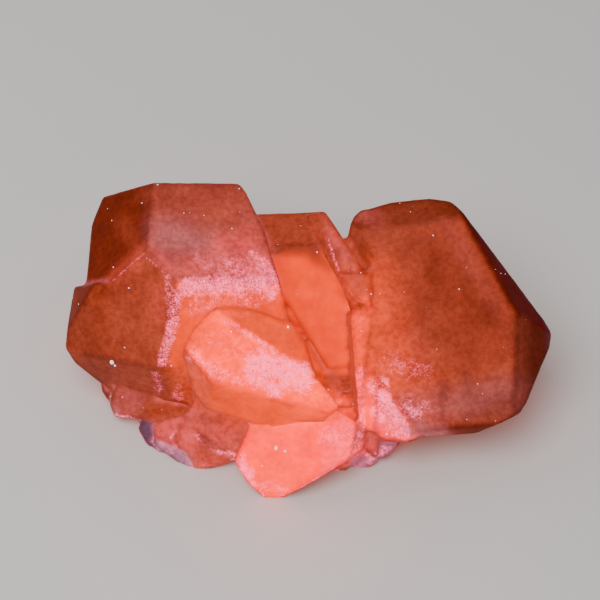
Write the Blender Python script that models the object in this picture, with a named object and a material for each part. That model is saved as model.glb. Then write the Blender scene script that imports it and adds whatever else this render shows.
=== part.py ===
"""A calcite cluster: blocky crystals grown together as one solid, cut flat where they grew on rock.

Sizes are in millimetres until the finished mesh is scaled to metres. The visible crystals are laid
out on a plane that leans back, as if looked down on from the front: u runs right, v runs up the
plane and w stands out of it, towards an eye a set distance away. Hidden crystals and faces are
placed by compass direction and rise: 0 degrees faces the front (-Y), 90 the right (+X).
"""

import math
import random

import bmesh
import bpy
from mathutils import Matrix, Vector

MM = 0.001

# The layout plane.
EYE_RISE = math.radians(50.0)
EYE_DISTANCE = 400.0
LAYOUT_CENTRE = Vector((-2.0, 6.13, 23.14))
ALONG = Vector((1.0, 0.0, 0.0))
UP_PLANE = Vector((0.0, math.sin(EYE_RISE), math.cos(EYE_RISE)))
TO_EYE = Vector((0.0, -math.cos(EYE_RISE), math.sin(EYE_RISE)))
EYE = LAYOUT_CENTRE + EYE_DISTANCE * TO_EYE

# The whole cluster.
CUT_LEVEL = -1.2
WORN_EDGE_WIDTH = 0.7
WORN_EDGE_LEAST_ANGLE = math.radians(16.0)
BLANK_HALF = 70.0
CORNER_MERGE = 0.02
ON_PLANE = 1e-6
SLIVER_MERGE = 0.02
SLIVER_WIDTH = 0.005
FLAT_ANGLE = math.radians(0.5)

# Calcite's cleavage shape: the angle from the crystal's axis to each face's normal.
RHOMB_NORMAL_ANGLE = math.radians(44.6)
CAP_SHARE = 0.42

# The fringe of small crystals around the foot, from the right side round the back to the left.
FRINGE_SEED = 11
FRINGE_COUNT = 16
FRINGE_CENTRE = (-2.0, 5.0)
FRINGE_REACH = (35.0, 22.0)
FRINGE_START = 75.0
FRINGE_END = 285.0
FRINGE_SIZE = (6.0, 10.0)

CRYSTAL_COLOUR = (0.82, 0.27, 0.13, 1.0)
CRYSTAL_ROUGHNESS = 0.38


def on_layout(u, v, w=0.0):
    """The point seen at (u, v) on the layout plane, w towards the eye from it."""
    nearer = (EYE_DISTANCE - w) / EYE_DISTANCE
    return LAYOUT_CENTRE + nearer * (u * ALONG + v * UP_PLANE) + w * TO_EYE


def compass(azimuth, rise):
    """The unit direction that faces a compass azimuth and rises above level."""
    turn = math.radians(azimuth)
    lift = math.radians(rise)
    level = math.cos(lift)
    return Vector((math.sin(turn) * level, -math.cos(turn) * level, math.sin(lift)))


class Crystal:
    """A crystal: a point inside it and the flat faces around it, each a normal and a distance."""

    def __init__(self, u, v, w):
        self.heart = Vector([round(value) for value in on_layout(u, v, w)])
        self.faces = {}

    def add(self, name, normal, point):
        """Adds the face through a point."""
        unit = normal.normalized()
        self.faces[name] = (unit, unit.dot(point))

    def seen_on(self, name, u, v):
        """Where the line of sight through (u, v) meets a face."""
        normal, distance = self.faces[name]
        sight = on_layout(u, v) - EYE
        return EYE + sight * ((distance - normal.dot(EYE)) / normal.dot(sight))

    def face(self, name, slope, at, out=None, meets=None):
        """A face that rises by slope (along u, along v), at a height or where another face is."""
        normal = TO_EYE - slope[0] * ALONG - slope[1] * UP_PLANE
        point = on_layout(*at, out) if meets is None else self.seen_on(meets, *at)
        self.add(name, normal, point)

    def side(self, name, behind, start, end, lean):
        """A face behind the outline of another face, leaning away from the line of sight."""
        first = self.seen_on(behind, *start)
        last = self.seen_on(behind, *end)
        edge = (last - first).normalized()
        sight = (first + last) / 2.0 - EYE
        sight = (sight - sight.dot(edge) * edge).normalized()
        across = edge.cross(sight).normalized()
        if across.dot(self.heart - first) > 0.0:
            across.negate()
        tilt = math.radians(lean)
        self.add(name, math.cos(tilt) * across + math.sin(tilt) * sight, first)

    def worn_strip(self, name, one, two, at, width):
        """A flat strip worn along the edge between two faces."""
        first, first_distance = self.faces[one]
        second, second_distance = self.faces[two]
        edge = first.cross(second)
        rows = Matrix((first, second, edge))
        corner = rows.inverted() @ Vector(
            (first_distance, second_distance, edge.dot(self.seen_on(one, *at)))
        )
        middle = (first + second).normalized()
        depth = width / 2.0 * math.tan(first.angle(second) / 2.0)
        self.add(name, middle, corner - depth * middle)

    def hidden(self, name, azimuth, rise, distance):
        """A face placed by the way it looks and its distance from the heart."""
        normal = compass(azimuth, rise)
        self.add(name, normal, self.heart + distance * normal)


def standing_at(x, y, z):
    """A crystal without faces yet, placed by its position and height, not by where it is seen."""
    c = Crystal(0.0, 0.0, 0.0)
    c.heart = Vector((x, y, z))
    return c


def rhomb(x, y, z, widths, azimuth, rise, spin):
    """A cleavage rhomb with a flat cap: three pairs of faces around an axis, each its own width."""
    c = standing_at(x, y, z)
    axis = compass(azimuth, rise)
    side = axis.orthogonal().normalized()
    for index, width in enumerate(widths):
        turn = Matrix.Rotation(math.radians(spin + 120.0 * index), 3, axis)
        lean = math.cos(RHOMB_NORMAL_ANGLE) * axis + math.sin(RHOMB_NORMAL_ANGLE) * (turn @ side)
        c.add(f"pair {index} outer", lean, c.heart + width / 2.0 * lean)
        c.add(f"pair {index} inner", -lean, c.heart - width / 2.0 * lean)
    c.add("cap", axis, c.heart + CAP_SHARE * max(widths) * axis)
    return c


def left_block():
    """The large block on the left: three big faces meeting at a corner, frosted strips below."""
    c = Crystal(-27, 3, -8)
    c.face("upper right", (-0.25, -0.50), (-25.6, 4), out=10)
    c.face("upper left", (1.02, -0.55), (-30.2, 16), meets="upper right")
    c.face("lower left", (0.42, 0.22), (-27.8, 6.85), meets="upper right")
    c.face("front", (-0.22, 0.36), (-14.4, 2.8), meets="upper right")
    c.face("low front", (0.61, 1.26), (-36.4, -12.4), meets="lower left")
    c.face("low middle", (-0.09, 1.04), (-26, -13.8), meets="front")
    c.side("back top", "upper right", (-28, 23.8), (-12, 23.6), lean=12)
    c.side("back left top", "upper left", (-39.2, 21), (-30, 23.6), lean=10)
    c.side("right top", "upper right", (-12, 23.5), (-10.6, 21.8), lean=6)
    c.side("right up", "upper right", (-10.8, 22.2), (-7, 14.4), lean=6)
    c.side("right", "upper right", (-7, 14.4), (-3.2, 1.6), lean=6)
    c.side("left back", "upper left", (-39.7, 20.6), (-41.9, 15), lean=8)
    c.side("left back low", "upper left", (-41.9, 15), (-42.8, 6), lean=8)
    c.side("low left", "low front", (-45.6, -12.4), (-39.6, -18), lean=4)
    c.side("low", "low front", (-39.2, -17.8), (-22.6, -21.2), lean=4)
    c.worn_strip("worn front", "upper right", "front", (-14.4, 2.8), width=2.6)
    c.worn_strip("worn left", "lower left", "front", (-25.2, -4), width=2.6)
    c.hidden("under left", 280, -50, 18)
    c.hidden("under", 200, -55, 17)
    c.hidden("back", 185, -5, 20)
    return c


def left_shoulder():
    """A second growth of the left block, standing out beyond its left edge."""
    c = Crystal(-40, -4, -12)
    c.face("face", (0.42, 0.22), (-28, 6.6), out=8.85)
    c.face("spur", (1.62, -0.52), (-43.2, 0), meets="face")
    c.face("low front", (0.61, 1.26), (-40, -11.6), meets="face")
    c.side("top", "spur", (-46, 2.8), (-42.6, 3.4), lean=8)
    c.side("left", "face", (-45.9, 2.4), (-47.1, -8.6), lean=5)
    c.side("left low", "face", (-47.5, -9), (-46, -12), lean=8)
    c.side("low left", "low front", (-46, -12.4), (-40.6, -17), lean=4)
    c.hidden("back", 190, -10, 7)
    c.hidden("under", 200, -55, 12)
    c.hidden("under left", 285, -45, 6)
    c.hidden("right", 90, 0, 7)
    return c


def right_block():
    """The largest block, on the right: one wide face with narrow ones falling away around it."""
    c = Crystal(29, -4, -8)
    c.face("front", (0.05, 0.05), (28, -4), out=8)
    c.face("right up", (-1.2, -0.65), (38.6, 6.2), meets="front")
    c.face("right down", (-0.85, 0.08), (43.2, -14), meets="front")
    c.face("top", (0.19, -0.85), (24, 15.8), meets="front")
    c.face("crack", (2.5, 2.1), (18, -19.6), meets="front")
    c.face("low front", (-0.1, 1.8), (32, -25.6), meets="front")
    c.side("left wall", "front", (14, 10), (13.9, -15), lean=-10)
    c.side("back top left", "top", (14, 18.6), (18, 19.8), lean=10)
    c.side("back top", "top", (18, 19.8), (25, 20.5), lean=10)
    c.side("back top right", "top", (27.4, 20.4), (31.2, 19.8), lean=10)
    c.side("back right", "right up", (32.4, 18.4), (49.6, -4.6), lean=15)
    c.side("tip up", "right up", (48.4, -2.8), (50.4, -6.2), lean=12)
    c.side("tip", "right down", (50.6, -7), (50.2, -10), lean=12)
    c.side("tip low", "right down", (49.4, -11.6), (45.6, -20.6), lean=12)
    c.side("tip end", "right down", (45.6, -20.6), (44.4, -22.6), lean=8)
    c.side("low right", "front", (43.4, -23.4), (39.6, -25.2), lean=5)
    c.side("low edge right", "low front", (39.4, -25.6), (35.6, -27.1), lean=8)
    c.side("low edge", "low front", (35.6, -27.1), (26, -27.6), lean=8)
    c.hidden("under right", 75, -40, 16)
    c.hidden("under", 150, -50, 17)
    c.hidden("under front", 10, -60, 17)
    c.hidden("back", 180, 0, 19)
    return c


def right_corner():
    """The right block's upper left corner, with a dark facet beside the bar."""
    c = Crystal(13.4, 12, 0)
    c.face("front", (-0.02, 0.05), (15, 6), out=7.78)
    c.face("top", (0.19, -0.85), (14, 14.25), meets="front")
    c.face("left up", (1.55, 0.76), (12.4, 12), meets="front")
    c.side("left", "left up", (9.1, 14), (9, 10), lean=4)
    c.side("back left", "top", (9.2, 13.6), (10.4, 16.8), lean=6)
    c.side("back top left", "top", (10.4, 16.9), (12, 18.2), lean=8)
    c.side("back top", "top", (12, 18.3), (15, 18.7), lean=8)
    c.hidden("right", 90, 0, 6)
    c.hidden("back", 180, 0, 7)
    c.hidden("under", 0, -70, 10)
    return c


def ledge():
    """A long narrow crystal along the right block's left side, over the deep cleft."""
    c = Crystal(12.6, -14, 1)
    c.face("front", (0.30, 0.04), (14, -8), out=7.35)
    c.face("inner", (-0.25, 0.11), (12.6, -18.5), meets="front")
    c.side("top", "front", (9.4, -2.2), (14, -2.2), lean=0)
    c.side("left wall", "front", (9.8, -2.4), (11.6, -24.4), lean=-4)
    c.side("low left", "inner", (11.6, -24.8), (13.4, -26.6), lean=4)
    c.side("low", "inner", (13.4, -26.7), (15.2, -26.4), lean=4)
    c.hidden("back", 180, 0, 12)
    c.hidden("right", 90, 0, 1.8)
    return c


def ledge_foot():
    """A facet below the right block's lower left corner, under a fine crack."""
    c = Crystal(17.6, -23, 0)
    c.face("front", (0.05, 0.12), (18, -19.6), out=6.1)
    c.face("left", (1.6, 0.15), (14.9, -21), meets="front")
    c.face("low front", (0.35, 1.8), (17, -28), meets="front")
    c.side("low", "low front", (15.8, -28.6), (21.6, -28.9), lean=10)
    c.side("low right", "low front", (21.6, -28.9), (24, -28.1), lean=6)
    c.hidden("right", 90, 0, 7)
    c.hidden("back", 180, 0, 10)
    c.side("low left", "front", (14.6, -26), (16.2, -28.6), lean=4)
    c.side("left wall", "left", (13.4, -17), (13.8, -26), lean=0)
    c.hidden("up", 180, 60, 8)
    c.hidden("under", 0, -60, 12)
    return c


def cleft_floor():
    """The floor of the deep cleft below the clear crystal."""
    c = Crystal(6.6, -16.6, -15)
    c.face("front", (0.35, -0.20), (6, -16), out=-8.2)
    c.face("right", (-0.3, 0.15), (7.2, -16), meets="front")
    c.hidden("up", 180, 30, 8)
    c.hidden("left", 270, 0, 8)
    c.hidden("wall", 90, 0, 8)
    c.hidden("low", 0, -20, 8)
    c.hidden("under", 0, -80, 9)
    return c


def cleft_block():
    """A small crystal that stands in the deep cleft."""
    c = Crystal(9.2, -20.6, -10)
    c.face("front", (0.05, 0.15), (9, -20), out=-3.8)
    c.side("top", "front", (8, -18.2), (9.8, -18.2), lean=2)
    c.side("left", "front", (8, -18.4), (8.1, -22.4), lean=2)
    c.side("right", "front", (9.9, -18.4), (11, -24), lean=2)
    c.hidden("low", 0, 0, 6)
    c.hidden("back", 180, 0, 6)
    c.hidden("under", 180, -80, 8)
    return c


def centre_back():
    """The clear crystal deep between the two blocks."""
    c = Crystal(1, 2, -16)
    c.face("front", (0.05, 0.25), (7, 0), out=-4)
    c.face("top", (0.05, -0.9), (-1.6, 10.8), meets="front")
    c.side("back top", "top", (-8.4, 17.4), (5.2, 18), lean=10)
    c.side("right top", "top", (5.2, 17.8), (9.4, 7.6), lean=3)
    c.side("low left", "front", (-3.4, 0), (4.8, -13.2), lean=5)
    c.side("low", "front", (5.6, -14.4), (9.4, -13.8), lean=5)
    c.side("right", "front", (13.6, 0), (13.6, -13.2), lean=0)
    c.hidden("left", 270, 0, 14)
    c.hidden("back", 180, 0, 12)
    c.hidden("under", 180, -50, 14)
    return c


def bar():
    """A narrow bar that leans between the centre crystal and the right block."""
    c = Crystal(8.6, 7.6, 0)
    c.face("front", (0.0, -0.15), (14, 4), out=8)
    c.face("left", (1.0, 0.22), (6.6, 9.2), meets="front")
    c.side("top", "front", (0, 17.8), (5, 18.1), lean=12)
    c.side("right", "front", (5.6, 17.4), (14.2, 4.4), lean=4)
    c.side("right low", "front", (14.3, 5), (14.3, 1), lean=0)
    c.side("low", "front", (9, 2.4), (14.4, 2.4), lean=0)
    c.side("left back", "left", (1.4, 14.6), (8, 2.8), lean=6)
    c.side("left top", "left", (0.6, 17.2), (2.4, 12.2), lean=6)
    c.hidden("back", 180, -10, 12)
    return c


def bar_end():
    """The blunt lower end of the bar, a little prouder than the rest."""
    c = Crystal(11.2, 1.6, 2)
    c.face("front", (0.02, -0.12), (12, 2), out=8.8)
    c.face("left", (1.25, 0.55), (8.8, 3.4), meets="front")
    c.face("end left", (1.1, 1.3), (9.9, 1), meets="front")
    c.face("end", (0.4, 1.9), (12, -0.6), meets="front")
    c.side("top", "front", (8.6, 5.7), (13, 5.9), lean=0)
    c.side("right", "front", (14.4, 5.2), (14.5, -0.8), lean=0)
    c.side("low", "end", (9.8, -2.1), (13.6, -2.2), lean=0)
    c.side("left back", "end left", (8, 2.8), (9.8, -2), lean=5)
    c.hidden("back", 180, -10, 10)
    return c


def front_crystal():
    """The crystal that stands highest in front, with a worn ridge along its top."""
    c = Crystal(-9, -13, 7)
    c.face("front", (-0.05, 0.15), (-7.6, -13), out=16)
    c.face("upper right", (-0.51, -0.55), (-6.2, -9), meets="front")
    c.face("lower left", (0.85, 0.85), (-19.8, -14.2), meets="front")
    c.face("low", (0.14, 0.95), (-9, -19), meets="front")
    c.worn_strip("worn ridge", "front", "upper right", (-6.2, -9), width=1.2)
    c.worn_strip("worn low", "front", "low", (-9, -19), width=1.0)
    c.side("left up", "front", (-23.8, -9.8), (-21.6, -5.6), lean=10)
    c.side("up left", "front", (-21.4, -5.4), (-17.4, -1.4), lean=10)
    c.side("up", "front", (-17, -1), (-13, -0.8), lean=10)
    c.side("up middle", "upper right", (-12.4, -0.7), (-7.6, -2), lean=8)
    c.side("up right", "upper right", (-7.6, -2), (-1.4, -4.3), lean=8)
    c.side("right up", "upper right", (-1.2, -4.4), (1.6, -8.8), lean=6)
    c.side("right", "upper right", (1.6, -8.8), (3.6, -15.6), lean=6)
    c.side("low edge", "low", (6, -24.6), (-7.6, -25.2), lean=10)
    c.side("low left", "low", (-10.4, -24.8), (-19, -22), lean=8)
    c.side("low left b", "lower left", (-19.6, -21.6), (-21.8, -18), lean=8)
    c.side("left low", "lower left", (-22.2, -17), (-24, -10.4), lean=8)
    c.hidden("back", 180, -30, 12)
    return c


def front_tip():
    """The blunt end of the front crystal, low on the right."""
    c = Crystal(2.4, -20, 8)
    c.face("front", (-0.05, 0.15), (2, -19.6), out=14.48)
    c.face("low", (0.14, 0.95), (2, -21.7), meets="front")
    c.side("up", "front", (0, -13.3), (4.6, -16.4), lean=6)
    c.side("right up", "front", (4.6, -16.4), (7, -19.6), lean=8)
    c.side("right", "front", (7, -19.6), (8.1, -21), lean=8)
    c.side("right low", "front", (8.2, -21.6), (6, -23.8), lean=8)
    c.side("low edge", "low", (6, -23.9), (-2, -25.1), lean=8)
    c.hidden("left", 270, 0, 8)
    c.hidden("back", 180, -30, 9)
    return c


def bottom_crystal():
    """The smooth crystal lowest in front, with its corner towards the eye."""
    c = Crystal(1, -29, -1)
    c.face("front", (0.0, 0.30), (0, -30), out=6.7)
    c.face("right", (-0.25, 0.33), (5.2, -26.6), meets="front")
    c.face("end", (-1.0, 0.5), (10.8, -28), meets="right")
    c.face("low front", (0.15, 0.9), (-6.4, -36.4), meets="front")
    c.side("left up", "front", (-10.6, -25), (-13.2, -31.2), lean=8)
    c.side("left low", "front", (-13.6, -32), (-11.2, -36.2), lean=8)
    c.side("low left", "low front", (-11.1, -36.5), (-7.5, -39.6), lean=8)
    c.side("low", "low front", (-6.4, -40), (-2.4, -39.5), lean=5)
    c.side("low right", "front", (-1, -38.7), (6, -34.7), lean=8)
    c.side("right low", "end", (11.2, -32), (12.8, -30.2), lean=5)
    c.side("right side", "end", (12.9, -30), (13.4, -26.8), lean=3)
    c.side("right up", "end", (13.4, -26.6), (11.4, -24.2), lean=3)
    c.side("up right", "right", (11.4, -24.2), (6, -20.6), lean=5)
    c.hidden("up", 180, 30, 10)
    c.hidden("back", 180, -20, 14)
    return c


def left_lobe():
    """A flat lobe under the left block."""
    c = Crystal(-30.4, -20.6, -9)
    c.face("front", (0.30, 0.35), (-34.4, -21), out=-6.2)
    c.face("right face", (-0.05, 0.50), (-31, -21), meets="front")
    c.side("left up", "front", (-37.5, -18), (-38.4, -20.8), lean=6)
    c.side("left low", "front", (-38.4, -20.9), (-37.3, -23.4), lean=6)
    c.side("low", "front", (-37, -23.6), (-31, -24.2), lean=6)
    c.side("low right", "right face", (-31, -24.2), (-25, -24.4), lean=7)
    c.hidden("right", 90, 0, 9)
    c.hidden("up", 0, 70, 7)
    c.hidden("back", 180, 0, 10)
    return c


def pale_lobe():
    """A small pale crystal low on the left."""
    c = Crystal(-30.6, -26.4, -10)
    c.face("front", (0.5, 0.15), (-30.8, -26), out=-6)
    c.side("up", "front", (-32.2, -24.2), (-28.6, -24.1), lean=4)
    c.side("left up", "front", (-31, -23.8), (-32.9, -25.2), lean=8)
    c.side("left", "front", (-32.8, -25.2), (-32.4, -26.6), lean=8)
    c.side("left low", "front", (-32.3, -26.6), (-31, -28.8), lean=8)
    c.side("low", "front", (-31, -28.8), (-29.4, -29.9), lean=8)
    c.hidden("right", 80, -10, 4)
    c.hidden("back", 180, 0, 9)
    c.hidden("under", 0, -50, 6)
    return c


def lower_a():
    """The first of the small crystals low on the left."""
    c = Crystal(-27, -26.8, -6)
    c.face("front", (0.25, 0.2), (-27.4, -26.2), out=-1.6)
    c.side("up", "front", (-29, -24.1), (-23, -22.6), lean=4)
    c.side("left", "front", (-29.6, -24.8), (-29.5, -27.9), lean=5)
    c.side("low", "front", (-29.4, -27.9), (-25, -29.6), lean=5)
    c.hidden("right", 90, 0, 5)
    c.hidden("back", 180, 0, 8)
    return c


def lower_b():
    """A small rounded crystal beside the first."""
    c = Crystal(-22.8, -28, -6)
    c.face("front", (0.02, 0.25), (-23, -28), out=-0.4)
    c.face("left facet", (0.7, 0.1), (-24.6, -27), meets="front")
    c.side("up", "front", (-24, -24.6), (-20.6, -26.2), lean=5)
    c.side("left up", "left facet", (-24.2, -24.8), (-25.6, -27.8), lean=5)
    c.side("left low", "left facet", (-25.6, -28.2), (-24.9, -29.9), lean=5)
    c.side("low", "front", (-24.8, -30), (-21.4, -30.8), lean=5)
    c.side("right low", "front", (-21.4, -30.8), (-19.4, -27), lean=5)
    c.hidden("back", 180, 0, 9)
    return c


def lower_c():
    """The largest of the low crystals, next to the bottom crystal."""
    c = Crystal(-16, -26.2, -3)
    c.face("front", (0.22, 0.20), (-15.6, -26.4), out=1.2)
    c.face("top", (0.3, -0.4), (-16.4, -23.6), meets="front")
    c.side("left", "front", (-22.5, -21.4), (-24, -24.2), lean=5)
    c.side("low left", "front", (-24, -24.4), (-13.4, -31.7), lean=5)
    c.hidden("right", 90, 0, 8)
    c.hidden("back", 180, 0, 10)
    return c


def lower_d():
    """A low crystal at the front edge of the base."""
    c = Crystal(-17.6, -31, -7)
    c.face("front", (0.1, 0.35), (-17.6, -31), out=-1.2)
    c.side("left up", "front", (-20.6, -28.4), (-23.2, -31), lean=5)
    c.side("left", "front", (-22.8, -31.4), (-21.4, -33.7), lean=5)
    c.side("low", "front", (-21.2, -33.8), (-18.4, -34.3), lean=5)
    c.side("low right", "front", (-18.4, -34.3), (-16, -33.4), lean=5)
    c.side("low right b", "front", (-16, -33.4), (-13.4, -32.8), lean=5)
    c.hidden("up", 0, 60, 6)
    c.hidden("back", 180, 0, 10)
    c.hidden("right", 90, 0, 6)
    return c


def lower_e():
    """A thin pale sheet of crystal along the lower left edge."""
    c = Crystal(-25, -31, -8)
    c.face("front", (0.2, 0.2), (-25.6, -30.8), out=-3.4)
    c.side("up", "front", (-29.9, -27.9), (-21, -28.6), lean=4)
    c.side("left", "front", (-29.9, -28), (-28.4, -30.4), lean=5)
    c.side("low", "front", (-28.4, -30.4), (-24.4, -32.7), lean=5)
    c.side("low right", "front", (-24.4, -32.7), (-22.6, -34), lean=5)
    c.side("right", "front", (-22.6, -34), (-21, -33.4), lean=5)
    c.hidden("back", 180, 0, 9)
    c.hidden("right side", 90, 0, 7)
    return c


def left_nub():
    """A small crystal behind the flat lobe."""
    c = Crystal(-38, -18.8, -14)
    c.face("front", (0.6, 0.1), (-38.8, -19.2), out=-9)
    c.side("left", "front", (-40.2, -16.4), (-39.8, -18.6), lean=8)
    c.side("left low", "front", (-39.8, -18.6), (-38.2, -20.8), lean=8)
    c.hidden("up", 0, 60, 6)
    c.hidden("right", 80, -10, 3)
    c.hidden("back", 180, 0, 9)
    c.hidden("under", 0, -40, 4)
    return c


def right_a():
    """A small crystal wedged below the ledge."""
    c = Crystal(14.6, -28.8, -3)
    c.face("front", (-0.05, 0.35), (14.4, -29.2), out=0.8)
    c.side("top left", "front", (13.3, -27), (14.4, -26.5), lean=3)
    c.side("top right", "front", (15, -26.5), (16, -27.8), lean=3)
    c.side("left", "front", (13.1, -27.4), (12.9, -29.6), lean=4)
    c.side("low left", "front", (12.9, -29.8), (15.4, -32), lean=4)
    c.side("right", "front", (16, -28), (15.5, -31.8), lean=4)
    c.hidden("back", 180, 0, 9)
    return c


def right_b():
    """A pale point at the foot of the bottom crystal."""
    c = Crystal(13, -32, -7)
    c.face("front", (0.1, 0.3), (12.8, -32), out=-2.0)
    c.side("left", "front", (13, -29.8), (10.4, -33.2), lean=4)
    c.side("right", "front", (13, -29.8), (15.9, -32.1), lean=4)
    c.side("low right", "front", (15.8, -32.2), (14.2, -33.5), lean=4)
    c.side("low", "front", (14, -33.6), (11.4, -33.7), lean=4)
    c.hidden("back", 180, 0, 8)
    return c


def right_c():
    """A pale crystal under the right block."""
    c = Crystal(17.4, -30, -6)
    c.face("front", (-0.1, 0.3), (17.2, -29.8), out=-1.4)
    c.side("left", "front", (15.6, -28), (15.3, -31.8), lean=4)
    c.side("low", "front", (15.4, -32.1), (17.4, -31.6), lean=4)
    c.side("low right", "front", (17.4, -31.6), (19.6, -29.4), lean=4)
    c.hidden("up", 0, 60, 5)
    c.hidden("back", 180, 0, 8)
    return c


def right_d():
    """The smallest crystal, in front under the bottom crystal."""
    c = Crystal(8.6, -33.4, -6)
    c.face("front", (0.0, 0.3), (8.4, -33.4), out=-2.5)
    c.side("left", "front", (6, -34.3), (8.8, -32.6), lean=4)
    c.side("low", "front", (6.4, -34.4), (9.2, -34.7), lean=4)
    c.side("right", "front", (9.3, -34.6), (10.6, -32.8), lean=4)
    c.hidden("up", 0, 60, 4)
    c.hidden("back", 180, 0, 6)
    return c


def base():
    """The low mass that all the crystals grow from, broken off below."""
    c = standing_at(-4.0, 6.0, 6.0)
    c.hidden("underside", 0, -90, 8)
    c.hidden("top", 0, 90, 0.6)
    c.hidden("front", 0, 15, 17)
    c.hidden("front left", 315, 20, 22)
    c.hidden("front right", 45, 20, 20)
    c.hidden("left", 270, 25, 24)
    c.hidden("right", 90, 25, 24)
    c.hidden("back", 180, 20, 17)
    c.hidden("back left", 230, 20, 20)
    c.hidden("back right", 130, 20, 20)
    return c


def front_foot():
    """A low crystal under the front ones, which joins them to the base."""
    c = Crystal(10, -29, -8)
    c.face("front", (0.0, 0.3), (10, -30), out=-3.6)
    c.side("low", "front", (5, -33.6), (13.4, -33.0), lean=4)
    c.side("low right", "front", (13.6, -32.8), (18, -30.2), lean=4)
    c.hidden("right", 90, 0, 6)
    c.hidden("left", 270, 0, 6)
    c.hidden("up", 180, 40, 8)
    c.hidden("back", 180, 0, 12)
    return c


def back_crystals():
    """Blocky crystals on the far side, each a place, its three widths, and how its axis points."""
    return [
        rhomb(-2, 23, 12, (20, 16, 18), azimuth=172, rise=30, spin=10),
        rhomb(-26, 25, 13, (21, 18, 17), azimuth=200, rise=15, spin=40),
        rhomb(-15, 28, 7, (14, 12, 15), azimuth=180, rise=45, spin=75),
        rhomb(20, 20, 15, (20, 17, 21), azimuth=155, rise=20, spin=20),
        rhomb(33, 17, 12, (17, 14, 16), azimuth=120, rise=10, spin=60),
        rhomb(-38, 16, 12, (16, 15, 13), azimuth=250, rise=15, spin=15),
        rhomb(9, 26, 7, (12, 11, 13), azimuth=175, rise=35, spin=95),
    ]


def fringe():
    """Small crystals around the foot, with sizes and turns drawn from a fixed seed."""
    draw = random.Random(FRINGE_SEED)
    found = []
    for index in range(FRINGE_COUNT):
        share = (index + draw.uniform(-0.3, 0.3)) / (FRINGE_COUNT - 1)
        azimuth = FRINGE_START + share * (FRINGE_END - FRINGE_START)
        outward = compass(azimuth, 0.0)
        size = draw.uniform(*FRINGE_SIZE)
        widths = [size * draw.uniform(0.8, 1.2) for _ in range(3)]
        found.append(
            rhomb(
                FRINGE_CENTRE[0] + outward.x * FRINGE_REACH[0],
                FRINGE_CENTRE[1] + outward.y * FRINGE_REACH[1],
                draw.uniform(0.5, 4.0),
                widths,
                azimuth=azimuth + draw.uniform(-30.0, 30.0),
                rise=draw.uniform(10.0, 60.0),
                spin=draw.uniform(0.0, 120.0),
            )
        )
    return found


def chips():
    """Small pieces knocked off edges, each as a rhomb to cut away."""
    return [
        rhomb(1.5, 13.5, 33.0, (4, 5, 4), azimuth=60, rise=40, spin=20),
        rhomb(-24, 33, 38.5, (7, 5, 6), azimuth=190, rise=50, spin=70),
        rhomb(30, 27, 33, (6, 7, 5), azimuth=170, rise=30, spin=35),
    ]


CRYSTALS = (
    left_block,
    left_shoulder,
    right_block,
    right_corner,
    ledge,
    ledge_foot,
    centre_back,
    cleft_floor,
    cleft_block,
    bar,
    bar_end,
    front_crystal,
    front_tip,
    bottom_crystal,
    left_lobe,
    left_nub,
    pale_lobe,
    lower_a,
    lower_b,
    lower_c,
    lower_d,
    lower_e,
    right_a,
    right_b,
    right_c,
    right_d,
    base,
    front_foot,
)


def close_over(mesh):
    """Skins the corners again as one closed convex body with flat faces."""
    bmesh.ops.remove_doubles(mesh, verts=mesh.verts, dist=CORNER_MERGE)
    hull = bmesh.ops.convex_hull(mesh, input=mesh.verts)
    kept = {part for part in hull["geom"] if isinstance(part, bmesh.types.BMFace)}
    spare = [face for face in mesh.faces if face not in kept]
    bmesh.ops.delete(mesh, geom=spare, context="FACES_ONLY")
    loose = [vertex for vertex in mesh.verts if not vertex.link_faces]
    bmesh.ops.delete(mesh, geom=loose, context="VERTS")
    bmesh.ops.dissolve_limit(mesh, angle_limit=FLAT_ANGLE, verts=mesh.verts, edges=mesh.edges)


def slice_off(mesh, normal, distance):
    """Cuts away what lies beyond a plane and closes the cut."""
    geometry = list(mesh.verts) + list(mesh.edges) + list(mesh.faces)
    cut = bmesh.ops.bisect_plane(
        mesh,
        geom=geometry,
        dist=ON_PLANE,
        plane_co=normal * distance,
        plane_no=normal,
        clear_outer=True,
    )
    if cut["geom_cut"]:
        close_over(mesh)


def wear_edges(mesh):
    """Cuts a narrow flat along each edge, as handling and growth leave it."""
    flats = []
    for edge in mesh.edges:
        first = edge.link_faces[0].normal
        second = edge.link_faces[1].normal
        angle = first.angle(second)
        if angle < WORN_EDGE_LEAST_ANGLE:
            continue
        middle = (first + second).normalized()
        depth = WORN_EDGE_WIDTH / 2.0 * math.tan(angle / 2.0)
        flats.append((middle, middle.dot(edge.verts[0].co) - min(depth, WORN_EDGE_WIDTH / 2.0)))
    for normal, distance in flats:
        slice_off(mesh, normal, distance)


def body_of(crystal, name, worn=True):
    """The crystal as a mesh object in millimetres: a blank cut down by each face in turn."""
    mesh = bmesh.new()
    bmesh.ops.create_cube(mesh, size=2.0 * BLANK_HALF, matrix=Matrix.Translation(crystal.heart))
    for normal, distance in crystal.faces.values():
        slice_off(mesh, normal, distance)
    mesh.normal_update()
    if worn:
        wear_edges(mesh)
    bmesh.ops.recalc_face_normals(mesh, faces=mesh.faces)
    data = bpy.data.meshes.new(name)
    mesh.to_mesh(data)
    mesh.free()
    return bpy.data.objects.new(name, data)


def gather(name, objects):
    """A collection in the scene that holds the objects."""
    group = bpy.data.collections.new(name)
    bpy.context.scene.collection.children.link(group)
    for item in objects:
        group.objects.link(item)
    return group


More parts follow.
